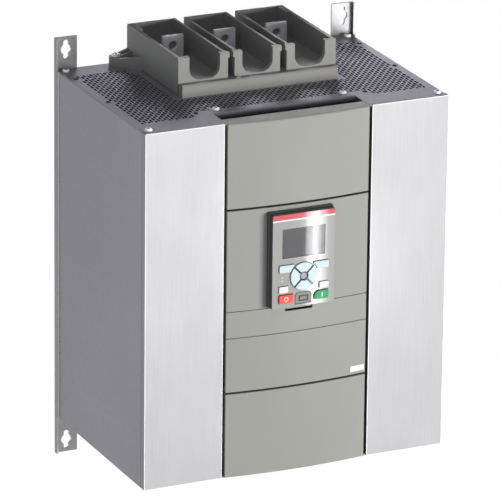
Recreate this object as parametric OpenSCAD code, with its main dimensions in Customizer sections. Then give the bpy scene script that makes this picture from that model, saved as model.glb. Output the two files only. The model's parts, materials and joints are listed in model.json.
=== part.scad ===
// Three-phase motor soft starter for a control cabinet wall.
// X runs to the right as seen from the front, Y runs back to the wall, Z runs up.
// The origin is the middle of the back face, at the mid-height of the enclosure.

/* [Enclosure] */
// Overall width of the enclosure
box_w = 361; // [355:1:370]
// Height of the enclosure without its mounting ears
box_h = 408; // [402:1:414]
// Depth from the wall to the metal front panels
box_d = 250; // [248:1:256]
// Thickness of the folded sheet metal
sheet = 2; // [1.5:0.1:2.2]
// Half width of the centre strip between the two metal front panels
strip_half = 87.8; // [87:0.1:90]
// Depth of the fold along the outer edge of a front panel
front_fold = 9.6; // [7:0.1:11]

/* [Mounting rails] */
// Height of the top end of the ears above the origin
ear_top = 241.5; // [236:0.5:246]
// Depth of the bottom end of the ears below the origin
ear_bottom = 248.5; // [244:0.5:254]
// Width of the flat flange of a rail
ear_w = 25; // [22:0.5:30]
// How far the side leg of a rail stands out past the side panel
rail_out = 1.5; // [1:0.1:1.8]
// Distance of a keyhole's centre from the end of its ear
key_end = 14.5; // [13:0.5:16]
// Distance of the keyholes from the middle plane
key_x = 168.8; // [166:0.1:170]
// Diameter of the round middle of a keyhole
key_d = 12; // [10:0.5:13]
// Width of the narrow ends of a keyhole
key_slot = 6; // [5:0.1:7]
// Overall length of a keyhole
key_len = 22; // [20:0.5:23]

/* [Ventilation] */
// Width of a ventilation slot
slot_w = 2.6; // [1.6:0.1:2.7]
// Length of a ventilation slot
slot_l = 7.8; // [6:0.1:8]
// Distance between neighbouring columns of slots
slot_dx = 4; // [3.8:0.1:5]
// Distance between slots in one column
slot_dy = 10; // [9.8:0.1:12]

/* [Front covers] */
// Half width of the plastic front covers
cover_half = 84.5; // [83:0.1:84.6]
// How far the covers bulge at the middle
cover_bulge = 5.5; // [3:0.1:6]
// Wall thickness of the covers
cover_t = 2.5; // [2:0.1:3]
// Height of the two seams between the covers
seam_z = 105.5; // [104:0.5:108]
// Width of a seam
seam_gap = 2.2; // [1.5:0.1:3.4]

/* [Terminals] */
// Distance between the phases
phase_pitch = 62.7; // [62:0.1:63.4]
// Width of a terminal bar
bar_w = 25; // [22:0.5:26]
// Thickness of a terminal bar
bar_t = 5; // [4:0.5:5]
// Radius of the bolt hole in a terminal bar
bar_hole_r = 5.25; // [4:0.05:6]
// Height of the terminal shroud over the enclosure
shroud_h = 43.2; // [40:0.1:46]
// Half width of the terminal shroud
shroud_half = 94.6; // [93:0.1:96]

/* [Keypad] */
// Half width of the keypad
pad_half = 37.7; // [36.6:0.1:38]
// Width of the rim that shows around the fascia
pad_rim = 0.5; // [0.5:0.1:1.4]
// How far the foot of the keypad stands out all round
pad_foot = 1.2; // [0.6:0.1:1.6]
// Height of the keypad's lower edge
pad_z0 = -9; // [-10:0.1:-8]
// Height of the keypad's upper edge
pad_z1 = 97.8; // [97:0.1:99]
// How far the keys stand out of the fascia
key_proud = 2; // [1.4:0.1:2.2]
// Gap around each key
key_gap = 0.5; // [0.35:0.05:0.5]
// Outer radius of the four-way key ring
nav_r = 15.8; // [15:0.1:16]

/* [Hidden] */
$fn = 64;
hw = box_w / 2;
hh = box_h / 2;
rw = hw + rail_out;                            // outer face of the mounting rails
yf = -box_d;                                   // plane of the metal front panels
fold_y = yf + front_fold + 0.6;                // front edge of the side panels
cover_r = (cover_half * cover_half + cover_bulge * cover_bulge) / (2 * cover_bulge);
cover_cy = yf - cover_bulge + cover_r;         // axis of the curved covers
rail_leg = 12;                                 // depth of a rail's side leg
ear_leg = 8;                                   // depth of the side leg at the ears
notch_half = 84.7;                             // half width of the cut-out over the covers
notch_y = -215;                                // rear edge of that cut-out
corner_screws = [[172, -238], [172, -10], [76, -199]];
edge_rivets = [[172.7, -40], [172.7, -130.3], [101, -203]];
phases = [-phase_pitch, 0, phase_pitch];
bar_y0 = -55;                                  // front face of a bar's outer end
bar_yi = -100;                                 // rear face of a bar's inner end
bar_top = hh + 41.2;
bar_hole_z = hh + 29.7;
face_y = yf - 16;                              // front of the keypad's fascia
fascia_t = 1.5;
nav_z = 25.2;
fan_x = 123;
fan_y = -118;

// ---------- shared shapes ----------
module bx(x0, x1, y0, y1, z0, z1) { translate([x0, y0, z0]) cube([x1 - x0, y1 - y0, z1 - z0]); }

module ycyl(x, z, r, y0, y1) { translate([x, y1, z]) rotate([90, 0, 0]) cylinder(r = r, h = y1 - y0); }

// Rounded rectangle centred on the origin
module rrect(w, h, r) {
  union() {
    square([w - 2 * r, h], center = true);
    square([w, h - 2 * r], center = true);
    for (sx = [-1, 1], sy = [-1, 1]) translate([sx * (w / 2 - r), sy * (h / 2 - r)]) circle(r = r);
  }
}

// A 2-D outline in X and Z, made solid between two depths
module xz(y0, y1) { translate([0, y1, 0]) rotate([90, 0, 0]) linear_extrude(y1 - y0) children(); }

// Rectangle given by its limits
module r2(x0, x1, y0, y1) { translate([x0, y0]) square([x1 - x0, y1 - y0]); }

function oct(c, r) = [for (i = [0:7]) [c[0] + r * cos(45 * i + 22.5), c[1] + r * sin(45 * i + 22.5)]];
function rect_pts(c, w, l) = [[c[0] - w / 2, c[1] - l / 2], [c[0] - w / 2, c[1] + l / 2], [c[0] + w / 2, c[1] + l / 2], [c[0] + w / 2, c[1] - l / 2]];
function flat1(l) = [for (a = l) for (b = a) b];
function near(p, list, d) = len([for (q = list) if (norm([abs(p[0]) - q[0], p[1] - q[1]]) < d) 1]) > 0;

// ---------- enclosure ----------
module back_plate() {
  color("#828189") bx(-hw + ear_w + 0.3, hw - ear_w - 0.3, -sheet, 0, -hh + 2.1, hh - 2.1);
}

module keyhole_2d() {
  union() {
    circle(d = key_d);
    square([key_slot, key_len - key_slot], center = true);
    for (s = [-1, 1]) translate([0, s * (key_len - key_slot) / 2]) circle(d = key_slot);
  }
}

module mounting_rail(s) {
  color("#8c8c90") difference() {
    translate([0, 0, -ear_bottom]) linear_extrude(ear_top + ear_bottom)
      polygon([[s * rw, 0], [s * (hw - ear_w), 0], [s * (hw - ear_w), -2.5], [s * (rw - 2), -2.5], [s * (rw - 2), -rail_leg], [s * rw, -rail_leg]]);
    for (z = [ear_top - key_end, -ear_bottom + key_end])
      translate([s * key_x, 1, z]) rotate([90, 0, 0]) linear_extrude(5) keyhole_2d();
    bx(s * rw - 4, s * rw + 4, -rail_leg - 1, -ear_leg, hh + 0.8, ear_top + 1);
    bx(s * rw - 4, s * rw + 4, -rail_leg - 1, -ear_leg, -ear_bottom - 1, -hh - 0.8);
  }
}
module left_mounting_rail() { mounting_rail(-1); }
module right_mounting_rail() { mounting_rail(1); }

module side_panel(s) {
  color("#828189") linear_extrude(2 * (hh - 2.1), center = true)
    polygon([[s * hw, -rail_leg - 0.3], [s * hw, fold_y], [s * (hw - sheet), fold_y], [s * (hw - sheet), yf + 14.4], [s * (hw - 16), yf + 14.4], [s * (hw - 16), yf + 14.4 + sheet], [s * (hw - sheet), yf + 14.4 + sheet], [s * (hw - sheet), -rail_leg - 0.3]]);
}
module left_side_panel() { side_panel(-1); }
module right_side_panel() { side_panel(1); }

// Outline of the top and bottom plates, stepped at the rails and the front panels
plate_outline = [
  [-hw, -rail_leg - 0.3], [-hw, fold_y], [-hw + 1.8, fold_y], [-hw + 1.8, yf + 1.7],
  [-notch_half, yf + 1.7], [-notch_half, notch_y + 6], [notch_half, notch_y + 6], [notch_half, yf + 1.7],
  [hw - 1.8, yf + 1.7], [hw - 1.8, fold_y], [hw, fold_y], [hw, -rail_leg - 0.3],
  [rw - 2.2, -rail_leg - 0.3], [rw - 2.2, -2.8], [hw - ear_w - 0.3, -2.8], [hw - ear_w - 0.3, 0],
  [-hw + ear_w + 0.3, 0], [-hw + ear_w + 0.3, -2.8], [-rw + 2.2, -2.8], [-rw + 2.2, -rail_leg - 0.3]];

bar_openings = [for (x = phases) rect_pts([x, bar_y0 + bar_t / 2], bar_w + 8, bar_t + 8)];
screw_openings = [for (p = corner_screws, s = [-1, 1]) oct([s * p[0], p[1]], 2.9)];
rivet_openings = [for (p = edge_rivets, s = [-1, 1]) oct([s * p[0], p[1]], 2.4)];
lug_openings = [for (s = [-1, 1]) oct([s * 112, -9], 3)];

// Fine staggered slots in a field with straight borders, clear of the shroud's footprint and the fixings
function field_back(x) = abs(x) > 102 ? -30 : -152;
function field_front(x) = abs(x) > 107 ? -215 : -197.8;
fine_slots = [for (i = [-42:42], j = [0:18])
  let (x = i * slot_dx, yc = -33.9 - j * slot_dy + (i % 2 == 0 ? 0 : slot_dy / 2),
    y1 = min(yc + slot_l / 2, field_back(x)), y0 = max(yc - slot_l / 2, field_front(x)), p = [x, (y0 + y1) / 2])
  if (y1 - y0 > slot_w + 0.05 && !near(p, edge_rivets, 6.5) && !near(p, corner_screws, 7.2) && !(abs(x) < 110 && y1 > -44))
  rect_pts(p, slot_w, y1 - y0)];
// Wider slots over the fan inlets
wide_slots = [for (s = [-1, 1], i = [-3:5], j = [-1:1]) rect_pts([s * (fan_x + i * 7.6), fan_y + j * 28], 3.6, 24)];

module perforated(openings) {
  difference() {
    polygon(plate_outline);
    for (o = openings) polygon(o);
  }
}

// Strip bent down along the rear edge of the cut-out over the covers
function bend(r, a0, a1, n) = [for (i = [0:n]) let (a = a0 + (a1 - a0) * i / n) [notch_y + 6 - r * sin(a), hh - 6 + r * cos(a)]];
module notch_flange() {
  translate([-notch_half, 0, 0]) rotate([90, 0, 90]) linear_extrude(2 * notch_half)
    polygon(concat(bend(6, 0, 90, 6), [[notch_y, hh - 18], [notch_y + sheet, hh - 18]], bend(6 - sheet, 90, 0, 6)));
}

module top_vent_plate() {
  color("#737278") union() {
    translate([0, 0, hh - sheet]) linear_extrude(sheet) perforated(concat(bar_openings, screw_openings, rivet_openings, lug_openings, fine_slots));
    notch_flange();
  }
}
module bottom_vent_plate() {
  color("#737278") mirror([0, 0, 1]) union() {
    translate([0, 0, hh - sheet]) linear_extrude(sheet) perforated(concat(bar_openings, screw_openings, rivet_openings, lug_openings, wide_slots));
    notch_flange();
  }
}

module front_panel(s) {
  color("#dcdcde") union() {
    bx(s > 0 ? strip_half : -hw, s > 0 ? hw : -strip_half, yf, yf + 1.5, -hh, hh);
    bx(s > 0 ? hw - 1.5 : -hw, s > 0 ? hw : -hw + 1.5, yf, yf + front_fold, -hh, hh);
    bx(s > 0 ? strip_half : -strip_half - 1.5, s > 0 ? strip_half + 1.5 : -strip_half, yf, yf + 14, -hh + 2.2, hh - 2.2);
  }
}
module left_front_panel() { front_panel(-1); }
module right_front_panel() { front_panel(1); }

// Black moulded frame behind the covers
module front_carrier() {
  color("#1b1b1d") difference() {
    union() {
      bx(-strip_half + 0.4, strip_half - 0.4, yf + 10, yf + 14, -hh + 3.6, hh - 3.6);
      for (s = [-1, 1]) bx(s > 0 ? 85.3 : -strip_half + 0.4, s > 0 ? strip_half - 0.4 : -85.3, yf + 4, yf + 10, -hh + 3.6, hh - 3.6);
      for (z = [118, 194, -118, -194], s = [-1, 1]) bx(s * 60 - 9, s * 60 + 9, yf + 5.5, yf + 10, z - 2, z + 2);
      for (x = [-36, -12, 12, 36]) bx(x - 1, x + 1, yf + 6.5, yf + 10, 124, 188);
    }
    bx(-34, 34, yf + 5, yf + 20, -8, 93);
    bx(-79, 79, yf + 5, yf + 20, -168, -124);
  }
}

// ---------- covers ----------
module cover_round(r, z0, z1) { translate([0, cover_cy, z0]) cylinder(r = r, h = z1 - z0, $fn = 128); }

module cover_solid(x, r, y1, z0, z1) { intersection() { bx(-x, x, yf - 12, y1, z0, z1); cover_round(r, z0 - 1, z1 + 1); } }

// Curved shell with side walls; end is 1 for a top wall, -1 for a bottom wall and 0 for neither
module cover_shell(z0, z1, end) {
  difference() {
    union() {
      cover_solid(cover_half, cover_r, yf + 6.5, z0, z1);
      if (end != 0) bx(-cover_half, cover_half, yf + 3, yf + 17, end > 0 ? z1 - cover_t : z0, end > 0 ? z1 : z0 + cover_t);
    }
    cover_solid(cover_half - cover_t, cover_r - cover_t, yf + 8, z0 + (end > 0 ? -1 : cover_t), z1 - (end > 0 ? cover_t : end < 0 ? -1 : cover_t));
  }
}

module upper_cover() { color("#b2b3ae") cover_shell(seam_z + seam_gap / 2, hh - 0.3, 1); }
module lower_cover() { color("#a9aaa4") cover_shell(-hh + 0.3, -seam_z - seam_gap / 2, -1); }

module crease(z, w, d) { difference() { cover_round(cover_r + 2, z - w / 2, z + w / 2); cover_round(cover_r - d, z - w / 2 - 1, z + w / 2 + 1); } }

module middle_cover() {
  color("#a8a9a4") difference() {
    cover_shell(-seam_z + seam_gap / 2, seam_z - seam_gap / 2, 0);
    bx(-31.4, 31.4, yf - 12, yf + 8, -2.4, 90.4);
    bx(-16.3, 16.3, yf - 12, yf + 8, -17.4, 0);
    crease(-11.2, 0.9, 0.5);
    crease(-41.9, 0.9, 0.5);
  }
}

// Blank white sticker near the lower right corner of the middle cover
module blank_label() {
  color("#f2f2f0") difference() {
    intersection() { bx(65.2, 82.6, yf - 12, yf + 2, -101, -94.5); cover_round(cover_r + 0.25, -102, -93); }
    cover_round(cover_r + 0.03, -103, -92);
  }
}

// ---------- terminals ----------
// Tangent point on the lug's round end, from a corner of the block
function tangent(p, c, r, s) = let (v = p - c, t = atan2(v[1], v[0]) + s * acos(r / norm(v))) c + r * [cos(t), sin(t)];

module shroud_lug() {
  c = [-112, -9]; p0 = [-shroud_half + 1, -41]; p1 = [-shroud_half + 1, -1.5];
  q0 = [-shroud_half + 1, -37]; q1 = [-shroud_half + 1, -4];
  difference() {
    union() {
      difference() {
        linear_extrude(18) polygon([p0, tangent(p0, c, 7.5, -1), c, tangent(p1, c, 7.5, 1), p1]);
        translate([0, 5, 0]) rotate([90, 0, 0]) linear_extrude(60)
          polygon([[-130, 10.5], [-111, 10.5], [-shroud_half + 2, 16.8], [-shroud_half + 2, 30], [-130, 30]]);
      }
      translate([c[0], c[1], 0]) cylinder(r = 7.5, h = 10.5);
    }
    difference() {
      translate([0, 0, 4]) linear_extrude(16) polygon([q0 - [0, 1], tangent(q0, c, 5.2, -1), c, tangent(q1, c, 5.2, 1), q1]);
      translate([c[0], c[1], 0]) cylinder(r = 6.6, h = 12);
      translate([-112, -14.5, 3]) cube([20, 2, 16]);
    }
    translate([c[0], c[1], -1]) cylinder(r = 2.8, h = 13);
    translate([c[0], c[1], 10.5]) cylinder(r = 5.6, h = 10);
  }
}

// Outline of the cable notch in the front of a cup
module cable_notch_2d(x, w) {
  r = 13;
  union() {
    translate([x - w / 2, 16.3 + r]) square([w, 40]);
    translate([x - w / 2 + r, 16.3]) square([w - 2 * r, 40]);
    for (s = [-1, 1]) translate([x + s * (w / 2 - r), 16.3 + r]) circle(r = r);
  }
}

// One-piece moulding: plinth, three open cups and two fixing lugs, standing on a plate at height zero
module terminal_shroud() {
  o = shroud_half; p = shroud_half - 1.3;
  cups = [[-o, -36.6], [-26, 26], [36.6, o]];
  lips = [[-o, -35.3], [-27.3, 27.3], [35.3, o]];
  rims = [[-o, -33.6], [-29, 29], [33.6, o]];
  hollow = [[-o + 4, -39.6], [-23, 23], [39.6, o - 4]];
  difference() {
    union() {
      rotate([90, 0, 90]) translate([0, 0, -p]) linear_extrude(2 * p)
        polygon([[-149.5, 0], [-149.5, 12.9], [-148, 14.4], [-0.5, 14.4], [-0.5, 0]]);
      for (k = [0:2]) {
        bx(cups[k][0], cups[k][1], -139, -0.5, 2, shroud_h);
        bx(lips[k][0], lips[k][1], -141, -134, 12, shroud_h);
        bx(rims[k][0], rims[k][1], -141, -136, shroud_h - 6, shroud_h);
      }
      bx(-40, 40, -139, -0.5, 2, 14.5);
      bx(-27, -22.5, -146.2, -143.8, 13, 15.6);
      shroud_lug();
      mirror([1, 0, 0]) shroud_lug();
    }
    for (k = [0:2]) {
      difference() {
        bx(hollow[k][0], hollow[k][1], -135, -4, 14.8, shroud_h + 1);
        if (k == 0) bx(-o, -o + 7.5, -27, -1, 10, shroud_h + 2);
        if (k == 2) bx(o - 7.5, o, -27, -1, 10, shroud_h + 2);
      }
      bx(phases[k] - bar_w / 2 - 0.5, phases[k] + bar_w / 2 + 0.5, bar_y0 - 0.6, bar_y0 + bar_t + 0.6, -1, 16);
      xz(-142, -133) cable_notch_2d(k == 1 ? 0 : (k - 1) * 63.2, 36.5);
    }
    bx(-p + 3, p - 3, -146, -62, -1, 9.6);
    bx(-p + 3, p - 3, -43, -4, -1, 9.6);
  }
}

module line_terminal_shroud() { color("#7b7b78") translate([0, 0, hh]) terminal_shroud(); }
module load_terminal_shroud() { color("#7b7b78") mirror([0, 0, 1]) translate([0, 0, hh]) terminal_shroud(); }

// Flat bar with a joggle inside the enclosure, drilled at both ends
module terminal_bar(x) {
  b = bar_w / 2;
  difference() {
    union() {
      bx(x - b, x + b, bar_y0, bar_y0 + bar_t, 180, bar_top);
      bx(x - b, x + b, bar_yi - bar_t, bar_y0 + bar_t, 180, 180 + bar_t);
      bx(x - b, x + b, bar_yi - bar_t, bar_yi, 20, 180 + bar_t);
    }
    ycyl(x, bar_hole_z, bar_hole_r, bar_y0 - 1, bar_y0 + bar_t + 1);
    ycyl(x, 32, 4.5, bar_yi - bar_t - 1, bar_yi + 1);
  }
}
module line_bar(k) { color("#87858c") terminal_bar(phases[k]); }
module load_bar(k) { color("#87858c") mirror([0, 0, 1]) terminal_bar(phases[k]); }
module line_terminal_bar_1() { line_bar(0); }
module line_terminal_bar_2() { line_bar(1); }
module line_terminal_bar_3() { line_bar(2); }
module load_terminal_bar_1() { load_bar(0); }
module load_terminal_bar_2() { load_bar(1); }
module load_terminal_bar_3() { load_bar(2); }

// ---------- fasteners ----------
// Pan head screw with a cross recess, pointing down from height zero
module pan_screw(hr, hd, r, l) {
  difference() {
    union() {
      cylinder(r = hr, h = hd * 0.6, $fn = 32);
      translate([0, 0, hd * 0.6]) cylinder(r1 = hr, r2 = hr * 0.72, h = hd * 0.4, $fn = 32);
      translate([0, 0, -l]) cylinder(r = r, h = l + 0.1, $fn = 32);
    }
    for (a = [0, 90]) rotate(a) translate([-hr * 0.6, -hr * 0.16, hd * 0.35]) cube([hr * 1.2, hr * 0.32, hd]);
  }
}
module panel_screws() {
  color("#d8d8da") for (m = [0, 1]) mirror([0, 0, m]) for (p = corner_screws, s = [-1, 1]) translate([s * p[0], p[1], hh + 0.1]) pan_screw(4, 2.6, 2, 7);
}
module edge_rivets() {
  color("#55555a") for (m = [0, 1]) mirror([0, 0, m]) for (p = edge_rivets, s = [-1, 1]) translate([s * p[0], p[1], hh + 0.1]) union() {
    cylinder(r1 = 2.9, r2 = 2.4, h = 0.7, $fn = 32);
    translate([0, 0, -5]) cylinder(r = 1.7, h = 5.1, $fn = 32);
  }
}
module shroud_screws() {
  color("#d8d8da") for (m = [0, 1]) mirror([0, 0, m]) for (s = [-1, 1]) translate([s * 112, -9, hh + 10.6]) pan_screw(4.8, 3, 2.3, 20);
}
module bar_bolts() {
  color("#b9b9bd") for (x = phases, z = [-32, 32]) union() {
    translate([x, bar_yi - bar_t - 0.1, z]) rotate([90, 0, 0]) cylinder(r = 7.5, h = 4.6, $fn = 6);
    ycyl(x, z, 4, bar_yi - bar_t - 0.2, bar_yi + 12);
  }
}

// ---------- power section ----------
module heatsink() {
  n = 24; pitch = 12.4; x0 = -(n - 1) * pitch / 2;
  color("#b4b6b8") linear_extrude(340, center = true) polygon(concat([[-150, -46.2]],
    [[-150, -34]], flat1([for (i = [0:n - 1]) let (x = x0 + i * pitch) [[x - 1.3, -34], [x - 1, -4], [x + 1, -4], [x + 1.3, -34]]]), [[150, -34], [150, -46.2]]));
}

module thyristor_module(k) {
  x = phases[k];
  color("#2b2b2e") difference() {
    union() {
      bx(x - 26, x + 26, -58, -46.3, -92, 92);
      bx(x - 25, x + 25, -92, -58, -75, 75);
      for (z = [-32, 0, 32]) bx(x - 12, x + 12, bar_yi, -92, z - 12, z + 12);
    }
    for (z = [-32, 32]) ycyl(x, z, 4.4, bar_yi - 1, bar_yi + 14);
    for (z = [-84, 84]) ycyl(x, z, 3.2, -60, -45);
  }
}
module thyristor_module_1() { thyristor_module(0); }
module thyristor_module_2() { thyristor_module(1); }
module thyristor_module_3() { thyristor_module(2); }

module bypass_contactor() {
  color("#303033") union() {
    bx(-86, 86, -150, -110, -64, 64);
    bx(-80, 80, -176, -150, -52, 52);
    bx(-40, 40, -196, -176, -30, 30);
    for (x = phases, z = [-51, 51]) bx(x - 9, x + 9, -110, bar_yi - bar_t, z - 7, z + 7);
  }
}

module current_transformer(k) {
  x = phases[k];
  color("#26262a") translate([x, bar_yi - bar_t / 2, -150]) difference() {
    linear_extrude(24) rrect(50, 50, 9);
    translate([0, 0, -1]) linear_extrude(26) square([bar_w + 2, bar_t + 3], center = true);
  }
}
module current_transformer_1() { current_transformer(0); }
module current_transformer_2() { current_transformer(1); }
module current_transformer_3() { current_transformer(2); }

module control_board() { color("#2f6b45") bx(-82, 82, yf + 18, yf + 19.6, -176, 62); }
module gate_driver_board() { color("#2f6b45") bx(-80, 80, -200, -198.4, 72, 172); }

// Two rows of cage clamp terminals in one block
module control_terminal_strip() {
  color("#4d5a50") difference() {
    bx(-75, 75, yf + 4, yf + 18, -162, -130);
    for (i = [-14:14]) {
      bx(i * 5 - 1.5, i * 5 + 1.5, yf + 3, yf + 9, -160, -156);
      bx(i * 5 - 1.5, i * 5 + 1.5, yf + 3, yf + 6, -153.5, -150.5);
      bx(i * 5 - 1.5, i * 5 + 1.5, yf + 3, yf + 9, -136, -132);
      bx(i * 5 - 1.5, i * 5 + 1.5, yf + 3, yf + 6, -141.5, -138.5);
    }
  }
}

// ---------- fans ----------
module fan_frame(s) {
  color("#1e1e20") translate([s * fan_x, fan_y, -hh + 2.2]) union() {
    difference() {
      linear_extrude(25) rrect(92, 92, 6);
      translate([0, 0, -1]) cylinder(r = 43.5, h = 27);
      for (a = [-1, 1], b = [-1, 1]) translate([a * 41.2, b * 41.2, -1]) cylinder(r = 2.2, h = 27);
    }
    translate([0, 0, 20]) cylinder(r = 17, h = 5);
    for (a = [30, 150, 270]) rotate(a) translate([16, -2, 21]) cube([28.5, 4, 4]);
  }
}
module left_fan_frame() { fan_frame(-1); }
module right_fan_frame() { fan_frame(1); }

module fan_rotor(s) {
  color("#2a2a2d") translate([s * fan_x, fan_y, -hh + 4.2]) union() {
    cylinder(r = 17, h = 17);
    intersection() {
      difference() { translate([0, 0, 1]) cylinder(r = 42, h = 15); cylinder(r = 16.5, h = 17); }
      union() for (a = [0:6]) rotate(a * 360 / 7) rotate([38, 0, 0]) translate([14, -11, 4]) cube([30, 30, 1.6]);
    }
  }
}
module left_fan_rotor() { fan_rotor(-1); }
module right_fan_rotor() { fan_rotor(1); }

// ---------- keypad ----------
// Key outlines in X and Z; g grows them into the openings of the fascia
module soft_key_2d(s, g) {
  difference() {
    translate([s * 20.55, 36.1]) rrect(17.5 + 2 * g, 8.2 + 2 * g, 0.8);
    translate([0, nav_z]) circle(r = nav_r + 1.7 - g);
  }
}
// One quarter of the four-way ring, turned by a quarter turn for each step of q
module nav_key_2d(q) {
  translate([0, nav_z]) rotate(q * 90) difference() {
    intersection() { circle(r = nav_r); polygon([[0, 1.35], [30, 31.35], [-30, 31.35]]); }
    circle(r = 5.2);
  }
}
module nav_ring_2d(g) { translate([0, nav_z]) difference() { circle(r = nav_r + g); circle(r = 4.1); } }
module info_key_2d(s, g) { translate([s * 24.1, 12.5]) rrect(10.8 + 2 * g, 7 + 2 * g, 0.8); }
module stop_key_2d(g) { translate([-21.1, 1.4]) rrect(16.6 + 2 * g, 9.5 + 2 * g, 1.2); }
// Rounded rectangle whose upper inner corner is cut to a wide arc
module start_key_2d(g) {
  translate([21.1, 1.4]) union() {
    intersection() {
      rrect(16.6 + 2 * g, 9.5 + 2 * g, 1.2);
      union() {
        translate([-2.3, -6]) square([11, 12]);
        translate([-2.3, -1.35]) circle(r = 6 + g);
        translate([-8.3 - g, -6]) square([8, 4.65]);
      }
    }
  }
}
module usb_2d(g) {
  union() {
    translate([-9.5 - g, -5.2]) square([19 + 2 * g, 7.6]);
    translate([-5.3, -5.2]) square([10.6, 11.8 + g]);
    for (s = [-1, 1]) translate([s * 5.3, 2.4]) circle(r = 4.2 + g);
  }
}
module lights_2d(g) { for (z = [26, 22]) translate([-25.5, z]) circle(r = 0.9 + g); }

module keypad_housing() {
  color("#3b3a40") difference() {
    union() {
      difference() {
        union() {
          xz(face_y + fascia_t, yf) translate([0, (pad_z0 + pad_z1 + 0.4) / 2]) rrect(2 * pad_half, pad_z1 + 1.2 - pad_z0, 2);
          xz(yf - 8.5, yf) translate([0, (pad_z0 + pad_z1 + 0.8) / 2]) rrect(2 * (pad_half + pad_foot), pad_z1 + 3.6 - pad_z0, 2.5);
        }
        cover_round(cover_r + 0.35, pad_z0 - 5, pad_z1 + 5);
      }
      bx(-30.6, 30.6, face_y + 7, yf + 4, -1.6, 89.6);
    }
    bx(-34.6, 34.6, face_y, face_y + 7.6, pad_z0 + 2.2, pad_z1 - 2.2);
    bx(-27, 27, face_y + 9.6, yf + 6, 2, 86);
  }
}

module keypad_fascia() {
  color("#9c9e9b") xz(face_y, face_y + fascia_t) difference() {
    translate([0, (pad_z0 + pad_z1) / 2]) rrect(2 * (pad_half - pad_rim), pad_z1 - pad_z0, 1.6);
    r2(-25.6, 25.6, 47.7, 81.1);
    for (s = [-1, 1]) { soft_key_2d(s, key_gap); info_key_2d(s, key_gap); }
    difference() { nav_ring_2d(key_gap); for (a = [45, 135]) translate([0, nav_z]) rotate(a) square([60, 0.7], center = true); }
    stop_key_2d(key_gap);
    start_key_2d(key_gap);
    usb_2d(key_gap);
    r2(-9.5 - key_gap, 9.5 + key_gap, -6.8, -5);
    lights_2d(0.1);
  }
}

module display_module() { color("#55565c") bx(-29, 29, face_y + fascia_t + 0.2, face_y + 5.8, 44, 85); }
module display_window() { color("#70707780") bx(-25.4, 25.4, face_y + 0.25, face_y + fascia_t + 0.1, 47.9, 80.9); }
module keypad_board() {
  color("#2f6b45") union() {
    bx(-34, 34, face_y + 5.9, face_y + 7.5, pad_z0 + 2.6, pad_z1 - 2.6);
    bx(-4.2, 4.2, face_y + 2.6, face_y + 5.9, -2.2, 2.4);
  }
}
module status_lights() { color("#9fd9a0") xz(face_y - 0.15, face_y + 5.8) lights_2d(0); }

module key_solid() { xz(face_y - key_proud, face_y + 3.2) children(); }
module left_soft_key() { color("#dff0fb") key_solid() soft_key_2d(-1, 0); }
module right_soft_key() { color("#dff0fb") key_solid() soft_key_2d(1, 0); }
module up_key() { color("#c6dbde") key_solid() nav_key_2d(0); }
module left_key() { color("#c6dbde") key_solid() nav_key_2d(1); }
module down_key() { color("#c6dbde") key_solid() nav_key_2d(2); }
module right_key() { color("#c6dbde") key_solid() nav_key_2d(3); }
module info_key() { color("#f4f4f4") key_solid() info_key_2d(-1, 0); }
module local_remote_key() { color("#f4f4f4") key_solid() info_key_2d(1, 0); }
module stop_key() { color("#e8604a") key_solid() stop_key_2d(0); }
module start_key() { color("#2fa36f") key_solid() start_key_2d(0); }

// Flap over the service socket, with a round hinge edge along its foot
module usb_cover() {
  color("#8a8b88") difference() {
    union() {
      xz(face_y - 0.4, face_y + 2) usb_2d(0);
      translate([-9.5, face_y + 0.8, -5.2]) rotate([0, 90, 0]) cylinder(r = 1.2, h = 19);
    }
    difference() {
      xz(face_y - 1, face_y + 0.2) r2(-5.6, 5.6, -3.4, 3.2);
      xz(face_y - 2, face_y + 1) r2(-4.2, 4.2, -2, 1.8);
    }
  }
}
// Sprung tongue under the keypad, over the finger slot that lets it come off the cover
module keypad_latch() { color("#a8a9a4") bx(-15.8, 15.8, yf - 5, yf + 1, -15, -4); }

back_plate();
left_mounting_rail();
right_mounting_rail();
left_side_panel();
right_side_panel();
top_vent_plate();
bottom_vent_plate();
left_front_panel();
right_front_panel();
front_carrier();
upper_cover();
middle_cover();
lower_cover();
blank_label();
line_terminal_shroud();
load_terminal_shroud();
line_terminal_bar_1();
line_terminal_bar_2();
line_terminal_bar_3();
load_terminal_bar_1();
load_terminal_bar_2();
load_terminal_bar_3();
panel_screws();
edge_rivets();
shroud_screws();
bar_bolts();
heatsink();
thyristor_module_1();
thyristor_module_2();
thyristor_module_3();
bypass_contactor();
current_transformer_1();
current_transformer_2();
current_transformer_3();
control_board();
gate_driver_board();
control_terminal_strip();
left_fan_frame();
right_fan_frame();
left_fan_rotor();
right_fan_rotor();
keypad_housing();
keypad_fascia();
display_module();
display_window();
keypad_board();
status_lights();
left_soft_key();
right_soft_key();
up_key();
right_key();
down_key();
left_key();
info_key();
local_remote_key();
stop_key();
start_key();
usb_cover();
keypad_latch();
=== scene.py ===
import bpy, bmesh, json, math, random
from mathutils import Matrix, Vector


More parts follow.
